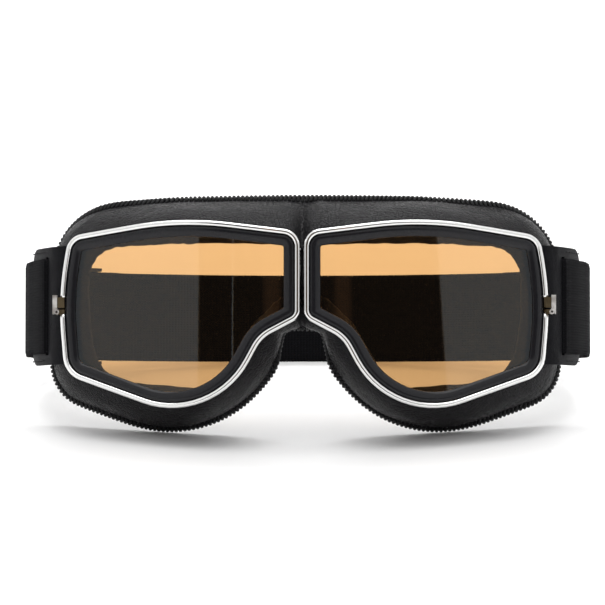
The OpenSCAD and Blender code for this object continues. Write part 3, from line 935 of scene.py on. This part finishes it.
def tab_mesh(name, sign):
    front_a = math.degrees(math.asin((34.0 - STRAP_Y) / TAB_R))
    rear_a = math.degrees(math.asin((54.0 - STRAP_Y) / TAB_R))
    slot_a = (FOLD_AT - 1.3, FOLD_AT + 0.0)
    cols = (list(np.linspace(front_a, slot_a[0], 6)) + [slot_a[1]]
            + list(np.linspace(slot_a[1], rear_a, 26))[1:])
    lead, corner = 5, 7.0
    slot_v = (STRAP_W / 2 + 0.5) / (TAB_H / 2)
    faces, grid = [], []
    arc_mm = [(a - front_a) * math.pi / 180 * TAB_R for a in cols]
    end_mm = arc_mm[-1]
    vs = ([-1.0] + list(np.linspace(-0.97, -slot_v, 4)) + list(np.linspace(-slot_v, slot_v, 15))[1:-1]
          + list(np.linspace(slot_v, 0.97, 4)) + [1.0])
    outline = closed_outline(RIM, 0.0)
    temple = outline[outline[:, 0] > 70]
    if temple[0, 1] > temple[-1, 1]:
        temple = temple[::-1]
    for k in range(lead):
        col = []
        for v in vs:
            z = v * TAB_H / 2
            rx = np.interp(z, temple[:, 1], temple[:, 0])
            f = np.array([rx - 0.2, float(wrap_y(rx, 3.4)) + 0.35])
            g = on_arc(SIDE_C, TAB_R, cols[0])
            s = k / lead
            p = f * (1 - s) + g * s + np.array([0.25, -0.1]) * math.sin(math.pi * s)
            col.append((p[0], p[1], z))
        grid.append(col)
    for a, mm in zip(cols, arc_mm):
        back = end_mm - mm
        top = TAB_H / 2
        if back <= corner:
            top = TAB_H / 2 - corner + math.sqrt(max(corner * corner - (corner - back) ** 2, 0))
        p = on_arc(SIDE_C, TAB_R, a)
        grid.append([(p[0], p[1], v * top) for v in vs])
    g = np.array(grid)
    n, w = g.shape[:2]
    verts = g.reshape(-1, 3)
    cut = lead + 5
    lo_v = [i for i, v in enumerate(vs) if abs(v + slot_v) < 1e-6][0]
    hi_v = [i for i, v in enumerate(vs) if abs(v - slot_v) < 1e-6][0]
    for i in range(n - 1):
        for j in range(w - 1):
            if i == cut and lo_v <= j < hi_v:
                continue
            faces.append((i * w + j, i * w + j + 1, (i + 1) * w + j + 1, (i + 1) * w + j))
    ob = new_mesh(name, place(fallen(verts), sign), faces, TAB_LEATHER)
    modifier(ob, "SOLIDIFY", thickness=TAB_T / 1000, offset=0)
    modifier(ob, "BEVEL", width=0.00028, segments=3, limit_method="ANGLE", angle_limit=math.radians(50))
    return ob


def capsule(a, b, r, sides=8):
    """Sections of a thread stitch lying from a to b, its ends dipping in."""
    a, b = np.asarray(a, float), np.asarray(b, float)
    t = np.linspace(0, 1, 7)
    path = a + (b - a) * t[:, None]
    return tube(path, r * np.sqrt(np.clip(1 - (2 * t - 1) ** 4, 0.06, 1)), sides)


for side, sign, body in SIDES:
    tab = tab_mesh(side + "_leather_tab", sign)
    bake(tab)
    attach(tab, body)
    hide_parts(side + "_tab")
    stitches = []
    for s in (-1, 1):
        for a in np.arange(-26.2, -18.0, 1.55):
            p, q = (on_arc(SIDE_C, TAB_R + TAB_T / 2 + 0.08, end) for end in (a, a + 1.1))
            z = s * (TAB_H / 2 - 1.5)
            stitches.append(place(fallen(capsule((p[0], p[1], z), (q[0], q[1], z), 0.24)), sign))
    st = many(side + "_tab_thread", stitches, THREAD)
    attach(st, body)
    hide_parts(side + "_tab_stitches")


# ------------------------------------------------------------------ studio

floor = new_mesh("floor", [(-3, -3, 0), (3, -3, 0), (3, 1.2, 0), (-3, 1.2, 0)],
                 [(0, 1, 2, 3)], None, row=False,
                 mats=[material("floor_white", (0.9, 0.9, 0.9), 0.6)])
bend = []
for k in range(25):
    a = math.pi / 2 * k / 24
    bend.append([(x, 1.2 + 0.8 * math.sin(a), 0.8 - 0.8 * math.cos(a)) for x in (-3, 3)])
bend.append([(-3, 2.0, 3.0), (3, 2.0, 3.0)])
wall = new_mesh("backdrop", np.array(bend).reshape(-1, 3),
                grid_faces(len(bend), 2, close_cols=False), None, row=False,
                mats=[material("wall_white", (0.93, 0.93, 0.93), 0.8)])

SIDE_LEVEL, TOP_LEVEL, BACK_LEVEL = 0.85, 1.0, 1.0
world = bpy.data.worlds.new("studio")
bpy.context.scene.world = world
bpy.context.scene.view_settings.view_transform = "Standard"
world.use_nodes = True
wt = world.node_tree


def wnode(kind, **kw):
    n = wt.nodes.new("ShaderNode" + kind)
    for k, v in kw.items():
        setattr(n, k, v)
    return n


def wlink(a, b):
    wt.links.new(a, b)


def wmath(op, a, b=0.0, clamp=False):
    return mathn(wnode, wlink, op, a, b, clamp)


def step(value, edge, width):
    """0 below an edge, 1 above it."""
    return wmath("ADD", wmath("DIVIDE", wmath("SUBTRACT", value, edge), width), 0.5, True)


# A tent of white panels, open at the front where it is dark: the way the room meets the lens and chrome.
wc = wnode("TexCoord")
ws = wnode("SeparateXYZ")
wlink(wc.outputs["Generated"], ws.inputs[0])
ahead = wmath("MAXIMUM", wmath("MULTIPLY", ws.outputs[1], -1.0), 0.001)
u, v = wmath("DIVIDE", ws.outputs[0], ahead), wmath("DIVIDE", ws.outputs[2], ahead)
behind = step(ws.outputs[1], -0.02, 0.02)
left_panel = step(wmath("MULTIPLY", u, -1.0), 0.613, 0.01)
right_panel = step(wmath("ADD", u, wmath("MULTIPLY", v, 1.2)), 1.127, 0.014)
top_panel = step(v, 1.15, 0.3)
slit = wmath("SUBTRACT", 1.0, step(wmath("ABSOLUTE", wmath("ADD", u, 0.394)), 0.0045, 0.002))
panels = wmath("MAXIMUM", wmath("MAXIMUM", left_panel, right_panel), wmath("MAXIMUM", top_panel, behind))
band = wmath("ABSOLUTE", wmath("SUBTRACT", wmath("ABSOLUTE", u), 0.18))
warm = wmath("SUBTRACT", 1.0, step(band, 0.04, 0.03))
high = step(ws.outputs[2], 0.5, 0.5)
level = wmath("ADD", SIDE_LEVEL, wmath("MULTIPLY", high, TOP_LEVEL - SIDE_LEVEL))
level = wmath("ADD", level, wmath("MULTIPLY", behind, BACK_LEVEL - SIDE_LEVEL))
dark = wnode("MixRGB")
dark.inputs[1].default_value = (0.05, 0.045, 0.042, 1)
dark.inputs[2].default_value = (0.26, 0.15, 0.09, 1)
wlink(warm, dark.inputs[0])
tent = wnode("CombineXYZ")
for i in range(3):
    wlink(level, tent.inputs[i])
mix = wnode("MixRGB")
wlink(wmath("MAXIMUM", panels, wmath("MULTIPLY", slit, 0.8)), mix.inputs[0])
wlink(dark.outputs[0], mix.inputs[1])
wlink(tent.outputs[0], mix.inputs[2])
wlink(mix.outputs[0], wt.nodes["Background"].inputs["Color"])
wt.nodes["Background"].inputs["Strength"].default_value = 1.0


def area(name, where, target, size, power, size_y=None, colour=(1, 1, 1)):
    d = bpy.data.lights.new(name, "AREA")
    d.shape = "RECTANGLE"
    d.size, d.size_y = size, size_y or size
    d.energy = power
    d.color = colour
    o = bpy.data.objects.new(name, d)
    bpy.context.scene.collection.objects.link(o)
    o.location = where
    o.rotation_euler = (Vector(target) - Vector(where)).to_track_quat("-Z", "Y").to_euler()
    return o


area("top_light", (0, 0.15, 1.5), (0, 0.05, 0), 1.4, 12)
area("backdrop_light", (0, 0.75, 1.5), (0, 1.9, 0.5), 1.6, 26, 0.5)

# ------------------------------------------------------------------ camera

cam_data = bpy.data.cameras.new("camera")
cam = bpy.data.objects.new("camera", cam_data)
bpy.context.scene.collection.objects.link(cam)
cam_data.sensor_width = 36
CAMERA_DISTANCE = 1100
FRAME_WIDTH = 202.675          # what the frame spans at the nose, in mm
cam_data.lens = cam_data.sensor_width * CAMERA_DISTANCE / FRAME_WIDTH
azimuth, elevation = math.radians(1.5), math.radians(-1.7)
back = np.array([math.sin(azimuth) * math.cos(elevation),
                 -math.cos(azimuth) * math.cos(elevation), math.sin(elevation)])
eye = back * CAMERA_DISTANCE
look = row_vec(*(-back)).normalized()
cam.location = to_row(eye)
cam.rotation_mode = "QUATERNION"
up = row_vec(0, 0, 1)
right = look.cross(up).normalized()
upv = right.cross(look).normalized()
cam.rotation_quaternion = Matrix((right, upv, -look)).transposed().to_quaternion()
cam_data.shift_x, cam_data.shift_y = 0.001157, 0.010744
cam_data.clip_start, cam_data.clip_end = 0.05, 30
bpy.context.scene.camera = cam
